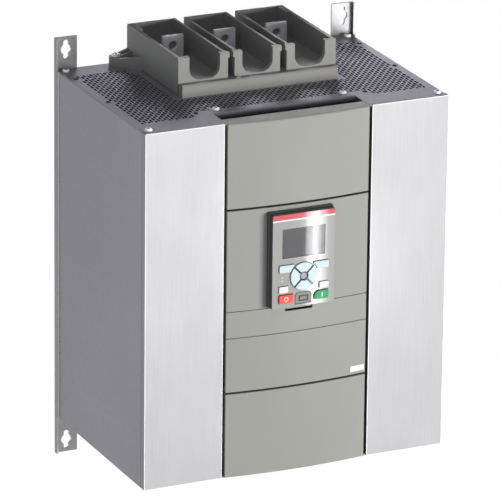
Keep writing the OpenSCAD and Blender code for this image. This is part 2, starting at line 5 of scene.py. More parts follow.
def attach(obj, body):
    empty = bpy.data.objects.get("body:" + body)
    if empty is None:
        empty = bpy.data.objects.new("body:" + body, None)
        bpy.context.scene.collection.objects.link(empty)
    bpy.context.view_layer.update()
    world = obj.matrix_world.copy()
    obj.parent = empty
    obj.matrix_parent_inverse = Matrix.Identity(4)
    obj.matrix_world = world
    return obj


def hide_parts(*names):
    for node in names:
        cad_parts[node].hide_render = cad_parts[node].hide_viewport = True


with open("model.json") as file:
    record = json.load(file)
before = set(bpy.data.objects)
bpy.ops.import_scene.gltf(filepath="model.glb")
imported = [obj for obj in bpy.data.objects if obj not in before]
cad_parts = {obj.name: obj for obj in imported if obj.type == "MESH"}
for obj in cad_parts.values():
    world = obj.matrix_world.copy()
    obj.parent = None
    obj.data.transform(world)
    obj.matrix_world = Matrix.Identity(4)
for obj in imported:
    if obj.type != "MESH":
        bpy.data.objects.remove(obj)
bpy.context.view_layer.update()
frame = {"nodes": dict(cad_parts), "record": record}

MM = 0.001
rad = math.radians
scene = bpy.context.scene
nodes = frame["nodes"]
BODY = {n: b for b, ns in frame["record"]["behaviour"]["bodies"].items() for n in ns}

# ------------------------------------------------------------------ materials
def srgb(h):
    """Linear colour from a hex string; a tuple is linear already."""
    if isinstance(h, tuple):
        return h + (1.0,)
    h = h.lstrip("#")
    c = [int(h[i:i + 2], 16) / 255 for i in (0, 2, 4)]
    return tuple(x / 12.92 if x <= 0.04045 else ((x + 0.055) / 1.055) ** 2.4 for x in c) + (1.0,)


class Mat:
    """A small wrapper that builds a procedural node material."""

    def __init__(self, name, rough=0.5, metal=0.0, **sockets):
        self.m = bpy.data.materials.new(name)
        self.m.use_nodes = True
        self.t = self.m.node_tree
        self.b = self.t.nodes["Principled BSDF"]
        self.b.inputs["Roughness"].default_value = rough
        self.b.inputs["Metallic"].default_value = metal
        for k, v in sockets.items():
            self.b.inputs[k.replace("_", " ")].default_value = v
        self.co = self.t.nodes.new("ShaderNodeTexCoord").outputs["Object"]

    def link(self, a, b):
        self.t.links.new(a, b)

    def noise(self, scale=(1, 1, 1), detail=4.0, rough=0.55, offset=(0, 0, 0), dist=0.0):
        mp = self.t.nodes.new("ShaderNodeMapping")
        mp.inputs["Scale"].default_value = scale
        mp.inputs["Location"].default_value = offset
        self.link(self.co, mp.inputs["Vector"])
        n = self.t.nodes.new("ShaderNodeTexNoise")
        n.inputs["Scale"].default_value = 1.0
        n.inputs["Detail"].default_value = detail
        n.inputs["Roughness"].default_value = rough
        n.inputs["Distortion"].default_value = dist
        self.link(mp.outputs[0], n.inputs["Vector"])
        return n.outputs["Fac"]

    def voronoi(self, scale=(1, 1, 1), feature="F1"):
        mp = self.t.nodes.new("ShaderNodeMapping")
        mp.inputs["Scale"].default_value = scale
        self.link(self.co, mp.inputs["Vector"])
        n = self.t.nodes.new("ShaderNodeTexVoronoi")
        n.feature = feature
        n.inputs["Scale"].default_value = 1.0
        self.link(mp.outputs[0], n.inputs["Vector"])
        return n.outputs["Distance"]

    def ramp(self, fac, stops):
        r = self.t.nodes.new("ShaderNodeValToRGB")
        e = r.color_ramp.elements
        while len(e) < len(stops):
            e.new(0.5)
        for i, (p, c) in enumerate(stops):
            e[i].position = p
            e[i].color = c if len(c) == 4 else tuple(c) + (1.0,)
        self.link(fac, r.inputs["Fac"])
        return r.outputs["Color"]

    def remap(self, v, a, b, c, d):
        n = self.t.nodes.new("ShaderNodeMapRange")
        for i, x in zip(("From Min", "From Max", "To Min", "To Max"), (a, b, c, d)):
            n.inputs[i].default_value = x
        self.link(v, n.inputs["Value"])
        return n.outputs["Result"]

    def math(self, op, a, b=None):
        n = self.t.nodes.new("ShaderNodeMath")
        n.operation = op
        for i, x in enumerate((a, b)):
            if x is None:
                continue
            if isinstance(x, (int, float)):
                n.inputs[i].default_value = x
            else:
                self.link(x, n.inputs[i])
        return n.outputs[0]

    def mix(self, fac, a, b, kind="MIX"):
        n = self.t.nodes.new("ShaderNodeMix")
        n.data_type = "RGBA"
        n.blend_type = kind
        for s, x in ((n.inputs[0], fac), (n.inputs[6], a), (n.inputs[7], b)):
            if isinstance(x, (int, float)):
                s.default_value = x
            elif isinstance(x, tuple):
                s.default_value = x
            else:
                self.link(x, s)
        return n.outputs[2]

    def xyz(self):
        n = self.t.nodes.new("ShaderNodeSeparateXYZ")
        self.link(self.co, n.inputs[0])
        return n.outputs

    def color(self, c):
        self.link(c, self.b.inputs["Base Color"])

    def rough(self, v):
        self.link(v, self.b.inputs["Roughness"])

    def bump(self, h, strength=0.1, dist=0.0002):
        n = self.t.nodes.new("ShaderNodeBump")
        n.inputs["Strength"].default_value = strength
        n.inputs["Distance"].default_value = dist
        self.link(h, n.inputs["Height"])
        self.link(n.outputs[0], self.b.inputs["Normal"])


def shade(c, k):
    return (min(1, c[0] * k), min(1, c[1] * k), min(1, c[2] * k), 1.0)


def paint(name, hexcol, rough=0.5, grain=1100, bump=0.12, spread=0.05, spec=0.5, lip=False):
    """Powder coat: fine orange peel, slow tone drift, small roughness changes; with lip set, painted shade darkens it
    downwards from just under the plate's top face.
    """
    c = srgb(hexcol)
    m = Mat(name, rough, Specular_IOR_Level=spec)
    slow = m.noise((7, 7, 7), 3)
    fine = m.noise((grain,) * 3, 2)
    tone = m.math("ADD", m.math("MULTIPLY", slow, 0.75), m.math("MULTIPLY", fine, 0.25))
    col = m.ramp(tone, [(0.3, shade(c, 1 - spread)), (0.7, shade(c, 1 + spread))])
    if lip:
        # painted shade: the rolled lip darkens downwards where it runs into the dark recess over the covers
        depth = m.remap(m.math("ABSOLUTE", m.xyz()["Z"]), 0.1985, 0.2037, 1, 0)
        col = m.mix(depth, col, shade(c, 0.085))
    m.color(col)
    m.rough(m.remap(m.noise((160,) * 3, 3), 0.3, 0.7, rough - 0.06, rough + 0.06))
    m.bump(fine, bump, 0.00015)
    return m.m


def plastic(name, hexcol, rough=0.42, grain=1800, bump=0.10, spread=0.035, spec=0.45):
    """Moulded plastic: spark-eroded grain with faint flow marks."""
    c = srgb(hexcol)
    m = Mat(name, rough, Specular_IOR_Level=spec)
    flow = m.noise((9, 9, 4), 4, 0.5, dist=0.6)
    fine = m.noise((grain,) * 3, 2)
    tone = m.math("ADD", m.math("MULTIPLY", flow, 0.8), m.math("MULTIPLY", fine, 0.2))
    m.color(m.ramp(tone, [(0.3, shade(c, 1 - spread)), (0.7, shade(c, 1 + spread))]))
    m.rough(m.remap(m.noise((220,) * 3, 3, offset=(3, 1, 2)), 0.3, 0.7, rough - 0.05, rough + 0.05))
    m.bump(fine, bump, 0.00008)
    return m.m


def brushed(name, hexcol, rough=0.34, along="Z", metal=1.0, spread=0.08, bump=0.08):
    """Brushed sheet: long fine lines along one axis, in tone, roughness and bump."""
    c = srgb(hexcol)
    m = Mat(name, rough, metal)
    k = {"X": (22, 1300, 1300), "Y": (1300, 22, 1300), "Z": (1300, 1300, 22)}[along]
    k2 = {"X": (9, 420, 420), "Y": (420, 9, 420), "Z": (420, 420, 9)}[along]
    lines = m.noise(k, 3, 0.6)
    bands = m.noise(k2, 3, 0.6, offset=(1.3, 0.2, 0.7))
    cloud = m.noise((26, 26, 14), 4)
    tone = m.math("ADD", m.math("MULTIPLY", lines, 0.45), m.math("ADD", m.math("MULTIPLY", bands, 0.2), m.math("MULTIPLY", cloud, 0.35)))
    m.color(m.ramp(tone, [(0.34, shade(c, 1 - spread)), (0.66, shade(c, 1 + spread))]))
    m.rough(m.remap(tone, 0.3, 0.7, rough + 0.06, rough - 0.06))
    m.bump(lines, bump, 0.00004)
    return m.m


def metal(name, hexcol, rough=0.3, spread=0.08, grain=420, metallic=1.0, bump=0.06):
    """Plated metal: cloudy tone, fine scratches in the roughness."""
    c = srgb(hexcol)
    m = Mat(name, rough, metallic)
    cloud = m.noise((60,) * 3, 4)
    fine = m.noise((grain,) * 3, 3, offset=(5, 2, 8))
    m.color(m.ramp(cloud, [(0.3, shade(c, 1 - spread)), (0.7, shade(c, 1 + spread))]))
    m.rough(m.remap(fine, 0.3, 0.7, rough - 0.08, rough + 0.1))
    m.bump(fine, bump, 0.00006)
    return m.m


M = {}
M["paint"] = paint("grey_powder_coat", (0.228, 0.222, 0.243), 0.55)
# painted shade: the vent plates take a darker copy of the grey paint, for the weaker light on their faces
M["paint_top"] = paint("grey_powder_coat_top_painted_shade", (0.152, 0.149, 0.171), 0.46, lip=True)
M["rail_edge"] = paint("grey_rail_coat", (0.238, 0.236, 0.250), 0.5)
M["panel_side"] = paint("grey_panel_return", (0.205, 0.203, 0.217), 0.5)
M["rail"] = metal("galvanised_rail", (0.77, 0.77, 0.78), 0.34, 0.05, 300, 0.86, 0.008)
M["brushed"] = brushed("brushed_front_sheet", (0.630, 0.630, 0.632), 0.32, spread=0.06, bump=0.04)
# painted highlight: a brighter metal for the front-facing bevels of the front panels
M["bright_edge"] = metal("painted_edge_highlight", (0.78, 0.78, 0.79), 0.36, 0.03, 420, 0.2, 0.02)
M["black"] = plastic("black_moulding", (0.008, 0.008, 0.009), 0.5)
# painted shade: a dark plastic for the grooves in the middle cover
M["crease"] = plastic("cover_crease", (0.062, 0.063, 0.060), 0.5)
M["cover"] = plastic("cover_plastic", (0.154, 0.156, 0.149), 0.38)
M["label"] = plastic("label_film", (0.42, 0.42, 0.41), 0.35, 700, 0.03, 0.01)
M["print"] = plastic("pale_print", (0.30, 0.30, 0.29), 0.5, 900, 0.02, 0.01)
M["shroud"] = plastic("shroud_plastic", (0.153, 0.154, 0.149), 0.46, 1500, 0.14, 0.05)
M["tin"] = metal("tinned_copper", (0.64, 0.63, 0.68), 0.38, metallic=0.40)
M["zinc"] = metal("bright_zinc", (0.90, 0.90, 0.91), 0.32, 0.04, 420, 0.4, 0.02)
# painted shade: a dark metal for the inner faces of the rails' side legs
M["rail_in"] = metal("rail_inner_face", (0.13, 0.13, 0.135), 0.24, 0.05, 300, 1.0, 0.01)
# painted shade: a near-black paint for the cross recesses of the screw heads
M["slot"] = paint("shaded_slot_wall", (0.010, 0.010, 0.012), 0.6)
# painted shade: a dark paint for the punched walls of the vent openings
M["vent_wall"] = paint("vent_wall_painted_shade", (0.075, 0.073, 0.088), 0.6)
M["rivet"] = paint("painted_rivet", (0.02, 0.02, 0.022), 0.4)
M["alu"] = brushed("extruded_aluminium", "#b9bcc0", 0.4)
M["module"] = plastic("module_housing", "#2b2b2e", 0.45)
M["fan"] = plastic("fan_moulding", "#1d1d20", 0.42)
M["strip"] = plastic("terminal_moulding", "#35423a", 0.45)
M["pad"] = plastic("keypad_housing", (0.0300, 0.0300, 0.0330), 0.42)
M["key_blue"] = plastic("pale_blue_key", (0.275, 0.34, 0.37), 0.4, 900, 0.04, 0.02)
M["key_white"] = plastic("white_key", (0.40, 0.40, 0.40), 0.4, 900, 0.04, 0.015)
M["key_red"] = plastic("red_key", (0.42, 0.045, 0.022), 0.38, 900, 0.04, 0.03)
M["key_green"] = plastic("green_key", (0.010, 0.16, 0.065), 0.38, 900, 0.04, 0.03)
M["flap"] = plastic("socket_flap", (0.115, 0.116, 0.112), 0.42, 1100, 0.06)
M["mark"] = plastic("key_mark", (0.46, 0.46, 0.46), 0.45, 900, 0.02, 0.01)
M["hub"] = plastic("key_hub", (0.16, 0.165, 0.18), 0.4, 900, 0.04, 0.02)


def pcb_material():
    m = Mat("solder_mask", 0.32, Coat_Weight=0.3, Coat_Roughness=0.2)
    g = srgb("#1f5b3a")
    v = m.voronoi((170, 170, 170), "DISTANCE_TO_EDGE")
    trace = m.ramp(v, [(0.04, shade(g, 1.7)), (0.09, shade(g, 0.8))])
    cloud = m.noise((40,) * 3, 3)
    m.color(m.mix(m.remap(cloud, 0.3, 0.7, 0.0, 0.45), trace, shade(g, 0.7)))
    m.bump(v, 0.15, 0.0001)
    return m.m


def fascia_material():
    """Glossy foil: grey field, a band of colour along the top and a white line under it."""
    m = Mat("fascia_foil", 0.12, Coat_Weight=0.9, Coat_Roughness=0.04)
    z = m.xyz()["Z"]
    grey, red, white = srgb((0.150, 0.153, 0.148)), srgb((0.27, 0.028, 0.045)), srgb((0.42, 0.42, 0.42))
    cloud = m.noise((30,) * 3, 3)
    field = m.ramp(cloud, [(0.3, shade(grey, 0.98)), (0.7, shade(grey, 1.02))])
    a = m.mix(m.math("GREATER_THAN", z, 0.0903), field, white)
    a = m.mix(m.math("GREATER_THAN", z, 0.0918), a, red)
    # painted shade: the foil is near-black in a disc under the four arrow keys, so the thin gaps between them read
    # dark
    x = m.xyz()["X"]
    dz = m.math("SUBTRACT", z, 0.0252)
    r = m.math("SQRT", m.math("ADD", m.math("MULTIPLY", x, x), m.math("MULTIPLY", dz, dz)))
    m.color(m.mix(m.math("LESS_THAN", r, 0.01625), a, srgb((0.02, 0.02, 0.022))))
    fine = m.noise((900,) * 3, 2)
    m.rough(m.remap(fine, 0.3, 0.7, 0.10, 0.15))
    m.bump(fine, 0.03, 0.00003)
    return m.m


def lcd_material():
    m = Mat("lcd_panel", 0.3, Specular_IOR_Level=0.15)
    c = srgb((0.013, 0.013, 0.023))
    x, y, z = m.xyz()
    px = m.math("ADD", m.math("PINGPONG", x, 0.0002), m.math("PINGPONG", z, 0.0002))
    m.color(m.ramp(m.remap(px, 0.0, 0.0004, 0, 1), [(0.1, shade(c, 0.9)), (0.4, shade(c, 1.03))]))
    m.rough(m.remap(m.noise((300,) * 3), 0.3, 0.7, 0.25, 0.35))
    return m.m


def lens_material():
    m = Mat("display_lens", 0.05, Transmission_Weight=1.0, IOR=1.60)
    m.b.inputs["Base Color"].default_value = (0.93, 0.93, 0.95, 1)
    m.rough(m.remap(m.noise((500,) * 3), 0.3, 0.7, 0.03, 0.07))
    return m.m


def lamp_material():
    m = Mat("light_pipe", 0.25, Transmission_Weight=0.3)
    c = srgb("#b9c4b4")
    m.color(m.ramp(m.noise((700,) * 3), [(0.3, shade(c, 0.9)), (0.7, shade(c, 1.1))]))
    return m.m


M["pcb"], M["fascia"], M["lcd"], M["lens"], M["lamp"] = pcb_material(), fascia_material(), lcd_material(), lens_material(), lamp_material()

# ------------------------------------------------------------------ mesh helpers
def finish_mesh(bm, name, mat, body, sharp=32, weighted=True):
    bmesh.ops.recalc_face_normals(bm, faces=bm.faces)
    for f in bm.faces:
        f.smooth = True
    for e in bm.edges:
        e.smooth = len(e.link_faces) == 2 and e.calc_face_angle(0.0) < rad(sharp)
    me = bpy.data.meshes.new(name)
    bm.to_mesh(me)
    bm.free()
    ob = bpy.data.objects.new(name, me)
    scene.collection.objects.link(ob)
    for mm in (mat if isinstance(mat, (list, tuple)) else [mat]):
        me.materials.append(mm)
    if weighted:
        w = ob.modifiers.new("weighted", "WEIGHTED_NORMAL")
        w.keep_sharp = True
        w.weight = 80
    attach(ob, body)
    return ob


def remake(node, mat, width=0.4, seg=2, angle=35, name=None, sharp=32, pick=None, edit=None, rim=None):
    """A copy of a CAD node with clean faces and rounded edges, in its place."""
    bm = bmesh.new()
    bm.from_mesh(nodes[node].data)
    bmesh.ops.remove_doubles(bm, verts=bm.verts, dist=2e-6)
    bmesh.ops.dissolve_limit(bm, angle_limit=rad(0.4), verts=bm.verts, edges=bm.edges, use_dissolve_boundaries=False, delimit={"NORMAL"})
    edges = [e for e in bm.edges if len(e.link_faces) == 2 and e.calc_face_angle(0.0) > rad(angle) and (pick is None or pick(e))]
    if width > 0 and edges:
        new = bmesh.ops.bevel(bm, geom=edges, offset=width * MM, offset_type="OFFSET", segments=seg, profile=0.5, affect="EDGES", clamp_overlap=True, loop_slide=True)
    if edit:
        edit(bm)
    # painted highlight: the new bevel faces that look forward take the rim material
    if rim is not None:
        for f in new["faces"]:
            if f.is_valid and f.normal.y < -0.15:
                f.material_index = rim
    ob = finish_mesh(bm, name or node + "_finish", mat, BODY[node], sharp)
    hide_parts(node)
    return ob


def add_box(bm, x0, x1, y0, y1, z0, z1, bev=0.0, seg=2):
    """A bevelled box, in millimetres."""
    t = bmesh.new()
    bmesh.ops.create_cube(t, size=1)
    for v in t.verts:
        v.co = Vector(((x0 + x1) / 2 + v.co.x * (x1 - x0), (y0 + y1) / 2 + v.co.y * (y1 - y0), (z0 + z1) / 2 + v.co.z * (z1 - z0))) * MM
    if bev:
        bmesh.ops.bevel(t, geom=t.edges[:], offset=bev * MM, segments=seg, profile=0.5, affect="EDGES", clamp_overlap=True)
    merge(bm, t)


def merge(bm, t):
    me = bpy.data.meshes.new("t")
    t.to_mesh(me)
    t.free()
    bm.from_mesh(me)
    bpy.data.meshes.remove(me)


def curve_mesh(loops, z0, z1, bev=0.0, seg=1):
    """A flat plate with holes from closed outlines (mm), between two heights, with small edge bevels."""
    cu = bpy.data.curves.new("outline", "CURVE")
    cu.dimensions = "2D"
    cu.fill_mode = "BOTH"
    cu.extrude = max(0.0, (z1 - z0) / 2 - bev) * MM
    cu.bevel_depth = bev * MM
    cu.bevel_resolution = seg
    cu.offset = -bev * MM
    for lp in loops:
        sp = cu.splines.new("POLY")
        sp.points.add(len(lp) - 1)
        for p, q in zip(sp.points, lp):
            p.co = (q[0] * MM, q[1] * MM, 0, 1)
        sp.use_cyclic_u = True
    ob = bpy.data.objects.new("outline", cu)
    scene.collection.objects.link(ob)
    dg = bpy.context.evaluated_depsgraph_get()
    me = bpy.data.meshes.new_from_object(ob.evaluated_get(dg))
    me.transform(Matrix.Translation((0, 0, (z0 + z1) / 2 * MM)))
    bpy.data.objects.remove(ob)
    bpy.data.curves.remove(cu)
    return me


# ------------------------------------------------------------------ enclosure
HW, HH, YF = 180.5, 204.0, -250.0
FOLD = YF + 10.2
NOTCH, NY = 84.7, -215.0
SCREWS = [(172, -238), (172, -10), (76, -199)]
RIVETS = [(172.7, -40), (172.7, -130.3), (101, -203)]


def near(p, pts, d):
    return any(math.hypot(abs(p[0]) - q[0], p[1] - q[1]) < d for q in pts)


def capsule(cx, cy, w, l, n=5):
    r = w / 2
    h = l / 2 - r
    top = [(cx + r * math.cos(math.pi * i / n), cy + h + r * math.sin(math.pi * i / n)) for i in range(n + 1)]
    bot = [(cx - r * math.cos(math.pi * i / n), cy - h - r * math.sin(math.pi * i / n)) for i in range(n + 1)]
    return top + bot


def circle_pts(cx, cy, r, n=16):
    return [(cx + r * math.cos(2 * math.pi * i / n), cy + r * math.sin(2 * math.pi * i / n)) for i in range(n)]


def rect_loop(x0, x1, y0, y1):
    return [(x0, y0), (x1, y0), (x1, y1), (x0, y1)]


PLATE = [(-HW + 2, -12.3), (-HW + 2, FOLD), (-HW + 1.8, FOLD), (-HW + 1.8, YF + 1.7), (-NOTCH, YF + 1.7), (-NOTCH, NY + 6), (NOTCH, NY + 6), (NOTCH, YF + 1.7),
         (HW - 1.8, YF + 1.7), (HW - 1.8, FOLD), (HW - 2, FOLD), (HW - 2, -12.3), (HW - 0.7, -12.3), (HW - 0.7, -2.8), (155.2, -2.8), (155.2, 0), (-155.2, 0), (-155.2, -2.8), (-HW + 0.7, -2.8), (-HW + 0.7, -12.3)]


def fine_slots():
    """Staggered slots in a field with straight borders, so the ones at its borders are cut short."""
    out = []
    for i in range(-42, 43):
        for j in range(19):
            x, yc = i * 4.0, -33.9 - j * 10.0 + (0 if i % 2 == 0 else 5.0)
            y1 = min(yc + 3.9, -30.0 if abs(x) > 102 else -152.0)
            y0 = max(yc - 3.9, -215.0 if abs(x) > 107 else -197.8)
            q = (x, (y0 + y1) / 2)
            if y1 - y0 > 2.65 and not near(q, RIVETS, 6.5) and not near(q, SCREWS, 7.2) and not (abs(x) < 110 and y1 > -44):
                out.append(capsule(q[0], q[1], 2.6, y1 - y0))
    return out


def wide_slots():
    return [capsule(s * (123 + i * 7.6), -118 + j * 28, 3.6, 24) for s in (-1, 1) for i in range(-3, 6) for j in (-1, 0, 1)]


def strip(bm, prof, x0, x1, nx=2):
    """A bent sheet: the outline prof in Y and Z (mm), drawn out along X."""
    rows = []
    for k in range(nx):
        x = x0 + (x1 - x0) * k / (nx - 1)
        rows.append([bm.verts.new(Vector((x, y, z)) * MM) for y, z in prof])
    n = len(prof)
    for a, b in zip(rows, rows[1:]):
        for i in range(n):
            bm.faces.new((a[i], a[(i + 1) % n], b[(i + 1) % n], b[i]))
    bm.faces.new(rows[0][::-1])
    bm.faces.new(rows[-1])


def strip_y(bm, prof, y0, y1):
    rows = []
    for y in (y0, y1):
        rows.append([bm.verts.new(Vector((x, y, z)) * MM) for x, z in prof])
    n = len(prof)
    a, b = rows
    for i in range(n):
        bm.faces.new((a[i], a[(i + 1) % n], b[(i + 1) % n], b[i]))
    bm.faces.new(a[::-1])
    bm.faces.new(b)


def arc(cx, cy, r, a0, a1, n):
    return [(cx + r * math.cos(rad(a0 + (a1 - a0) * i / n)), cy + r * math.sin(rad(a0 + (a1 - a0) * i / n))) for i in range(n + 1)]


def vent_plate(node, slots, flip):
    holes = [rect_loop(x - 16.5, x + 16.5, -59, -46) for x in (-62.7, 0, 62.7)]
    holes += [circle_pts(s * p[0], p[1], 2.9) for p in SCREWS for s in (-1, 1)]
    holes += [circle_pts(s * p[0], p[1], 2.4) for p in RIVETS for s in (-1, 1)]
    me = curve_mesh([PLATE] + holes + slots, HH - 2, HH, 0.18, 1)
    bm = bmesh.new()
    bm.from_mesh(me)
    bpy.data.meshes.remove(me)
    # rolled lip along the cut-out over the covers
    lip = arc(NY + 6, HH - 6, 6.0, 90, 180, 12) + [(NY, HH - 18), (NY + 2, HH - 18)] + arc(NY + 6, HH - 6, 4.0, 180, 90, 12)
    strip(bm, [(NY + 7, HH)] + lip + [(NY + 7, HH - 2)], -NOTCH, NOTCH)
    # rounded folds along both sides
    rf = 0.3 if flip else 2.0
    for s in (-1, 1):
        p = [(s * x, z) for x, z in [(HW - 2.6, HH)] + arc(HW - rf, HH - rf, rf, 90, 0, 8) + [(HW, HH - 2.1), (HW - 2.6, HH - 2.1)]]
        strip_y(bm, p, FOLD, -12.3)
    # painted shade: the punched walls of the openings take a dark paint, and the side folds take the side panels'
    # paint, lighter than the darker copy on the top face
    bm.normal_update()
    for f in bm.faces:
        c = f.calc_center_median() / MM
        if abs(f.normal.z) < 0.3 and abs(c.x) < 171.5 and -217 < c.y < -27 and not (abs(c.x) < 86 and c.y < -206):
            f.material_index = 1
        elif abs(c.x) > HW - rf and abs(f.normal.y) < 0.5:
            f.material_index = 2
    if flip:
        bmesh.ops.scale(bm, vec=(1, 1, -1), verts=bm.verts)
    ob = finish_mesh(bm, node + "_finish", [M["paint_top"], M["vent_wall"], M["paint"]], BODY[node], 40, False)
    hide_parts(node)
    return ob


def outer_faces(x):
    """Gives the faces that look sideways, past x (mm), the second finish."""
    def edit(bm):
        bm.normal_update()
        for f in bm.faces:
            if abs(f.normal.x) > 0.75 and abs(f.calc_center_median().x) > x * MM:
                f.material_index = 1
    return edit


def rail_faces(bm):
    """Outer sides of a rail take the edge finish, and the inner face of its side leg a dark metal as painted shade."""
    outer_faces(172)(bm)
    for f in bm.faces:
        c = f.calc_center_median()
        if abs(f.normal.x) > 0.75 and f.normal.x * c.x < 0 and abs(c.x) > 0.170:
            f.material_index = 2


vent_plate("top_vent_plate", fine_slots(), False)
vent_plate("bottom_vent_plate", wide_slots(), True)

remake("back_plate", M["paint"], 0.3)
for s in ("left", "right"):
    remake(s + "_mounting_rail", [M["rail"], M["rail_edge"], M["rail_in"]], 0.3, edit=rail_faces)
    remake(s + "_side_panel", M["paint"], 0.2, pick=lambda e: abs(e.verts[0].co.z + e.verts[1].co.z) < 0.4)
    remake(s + "_front_panel", [M["brushed"], M["panel_side"], M["bright_edge"]], 0.62, 3, edit=outer_faces(179.4), rim=2)
remake("front_carrier", M["black"], 0.4)

# ------------------------------------------------------------------ covers
CH, CB = 84.5, 5.5
CR = (CH * CH + CB * CB) / (2 * CB)
CY = YF - CB + CR


def cy(x, off=0.0):
    """Depth of the covers' curved face at x, in mm; off moves it outwards."""
    return CY - math.sqrt((CR + off) ** 2 - x * x)


def cover(node, z0, z1, rb, rt, backb, backt, grooves=(), window=None):
    """Curved shell with a rounded rim, in millimetres: radii of the lower and upper rim, and how far back the lower and upper walls go."""
    RS = 1.0
    steps = (0.0, 0.07, 0.2, 0.4, 0.68, 1.0)
    xs = {round(-CH + RS * t, 4) for t in steps} | {round(CH - RS * t, 4) for t in steps} | {round(-CH + RS + (2 * CH - 2 * RS) * i / 44, 4) for i in range(45)}
    zs = {round(z0 + rb * t, 4) for t in steps} | {round(z1 - rt * t, 4) for t in steps}
    for g, d in grooves:
        zs |= {g - 0.55, g - 0.35, g + 0.35, g + 0.55}
    for w in window or ():
        xs |= {w[0], w[1]}
        zs |= {w[2], w[3]}
    xs, zs = sorted(xs), sorted(zs)
    bm = bmesh.new()

    def gap(xa, xb, za, zb):
        return any(w[0] - 1e-6 <= xa and xb <= w[1] + 1e-6 and w[2] - 1e-6 <= za and zb <= w[3] + 1e-6 for w in window or ())

    def depth(x, z):
        a = max(0.0, RS - (CH - abs(x))) / RS
        b = max(max(0.0, rb - (z - z0)) / rb, max(0.0, rt - (z1 - z)) / rt)
        rz = rb if z - z0 < z1 - z else rt
        t = min(1.0, a * a + b * b)
        r = RS if a >= b else rz
        if a > 0 and b > 0:
            r = (RS * a + rz * b) / (a + b)
        y = cy(x) + r * (1 - math.sqrt(1 - t))
        for g, d in grooves:
            if abs(z - g) < 0.4:
                y += d
        return y
    grid = {(i, j): bm.verts.new(Vector((x, depth(x, z), z)) * MM) for i, x in enumerate(xs) for j, z in enumerate(zs)}
    for i in range(len(xs) - 1):
        for j in range(len(zs) - 1):
            if not gap(xs[i], xs[i + 1], zs[j], zs[j + 1]):
                bm.faces.new((grid[i, j], grid[i + 1, j], grid[i + 1, j + 1], grid[i, j + 1]))
    for v in [v for v in bm.verts if not v.link_faces]:
        bm.verts.remove(v)
    ext = bmesh.ops.extrude_edge_only(bm, edges=[e for e in bm.edges if e.is_boundary])
    for v in [g for g in ext["geom"] if isinstance(g, bmesh.types.BMVert)]:
        x, z = v.co.x / MM, v.co.z / MM
        if abs(z - z1) < 0.01:
            v.co.y = backt * MM
        elif abs(z - z0) < 0.01:
            v.co.y = backb * MM
        elif abs(abs(x) - CH) < 0.01:
            v.co.y = (YF + 6.5) * MM
        else:
            v.co.y += 2.4 * MM
    # painted shade: the faces of the grooves take the dark crease material
    for f in bm.faces:
        if any(abs(f.calc_center_median().z / MM - g) < 0.5 for g, d in grooves):
            f.material_index = 1
    ob = finish_mesh(bm, node + "_finish", [M["cover"], M["crease"]], BODY[node], 40, False)
    if sum(p.normal.y * p.area for p in ob.data.polygons) > 0:
        ob.data.flip_normals()
    so = ob.modifiers.new("wall", "SOLIDIFY")
    so.thickness = 2.2 * MM
    so.offset = -1
    w = ob.modifiers.new("weighted", "WEIGHTED_NORMAL")
    w.keep_sharp = True
    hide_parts(node)
    return ob


SZ, SG = 105.5, 1.1
cover("upper_cover", SZ + SG, HH - 0.3, 0.6, 2.4, YF + 6.5, YF + 17)
cover("lower_cover", -HH + 0.3, -SZ - SG, 0.8, 0.6, YF + 17, YF + 6.5)
cover("middle_cover", -SZ + SG, SZ - SG, 0.6, 0.6, YF + 6.5, YF + 6.5, grooves=((-11.2, 0.45), (-41.9, 0.45)), window=[(-31.4, 31.4, -2.4, 90.4), (-16.3, 16.3, -17.4, -2.4)])
remake("blank_label", M["label"], 0)

# ------------------------------------------------------------------ terminals
for w in ("line", "load"):
    remake(w + "_terminal_shroud", M["shroud"], 0.7, 2, 40)
    for k in "123":
        remake(f"{w}_terminal_bar_{k}", M["tin"], 0.4, 2)


def recess(axes, hr, z0, hd):
    """The cross recess of each screw head gets painted shade, a near-black paint."""
    def edit(bm):
        bm.normal_update()
        for f in bm.faces:
            c = f.calc_center_median() / MM
            if abs(c.z) > z0 and min(math.hypot(abs(c.x) - a[0], c.y - a[1]) for a in axes) < 0.64 * hr and (abs(f.normal.z) < 0.3 or abs(c.z) < z0 + 0.45 * hd):
                f.material_index = 1
    return edit


remake("panel_screws", [M["zinc"], M["slot"]], 0.15, 1, edit=recess(SCREWS, 4.0, 204.2, 2.6))
remake("edge_rivets", M["rivet"], 0.3, 2)
remake("shroud_screws", [M["zinc"], M["slot"]], 0.15, 1, edit=recess([(112, -9)], 4.8, 214.7, 3.0))
remake("bar_bolts", M["zinc"], 0.3, 1)

# ------------------------------------------------------------------ inside
remake("heatsink", M["alu"], 0.2, 1)
for k in "123":
    remake("thyristor_module_" + k, M["module"], 0.8)
    remake("current_transformer_" + k, M["module"], 0.8)
remake("bypass_contactor", M["module"], 1.0)
remake("control_board", M["pcb"], 0.15, 1)
remake("gate_driver_board", M["pcb"], 0.15, 1)
remake("control_terminal_strip", M["strip"], 0.0)
for s in ("left", "right"):
    remake(s + "_fan_frame", M["fan"], 0.5)
    remake(s + "_fan_rotor", M["fan"], 0.25, 1)

# ------------------------------------------------------------------ keypad
remake("keypad_housing", M["pad"], 0.6, 3)


def fascia_walls(bm):
    """The edges of the foil and of its openings are dark."""
    bm.normal_update()
    for f in bm.faces:
        if f.normal.y > -0.6:
            f.material_index = 1


def flap_groove_shade(bm):
    """The groove pressed into the flap takes the dark housing material as painted shade."""
    bm.normal_update()
    for f in bm.faces:
        c = f.calc_center_median() / MM
        if abs(c.x) < 5.75 and -3.5 < c.z < 3.3 and -266.34 < c.y < -265.5 and f.normal.y < 0.5:
            f.material_index = 1


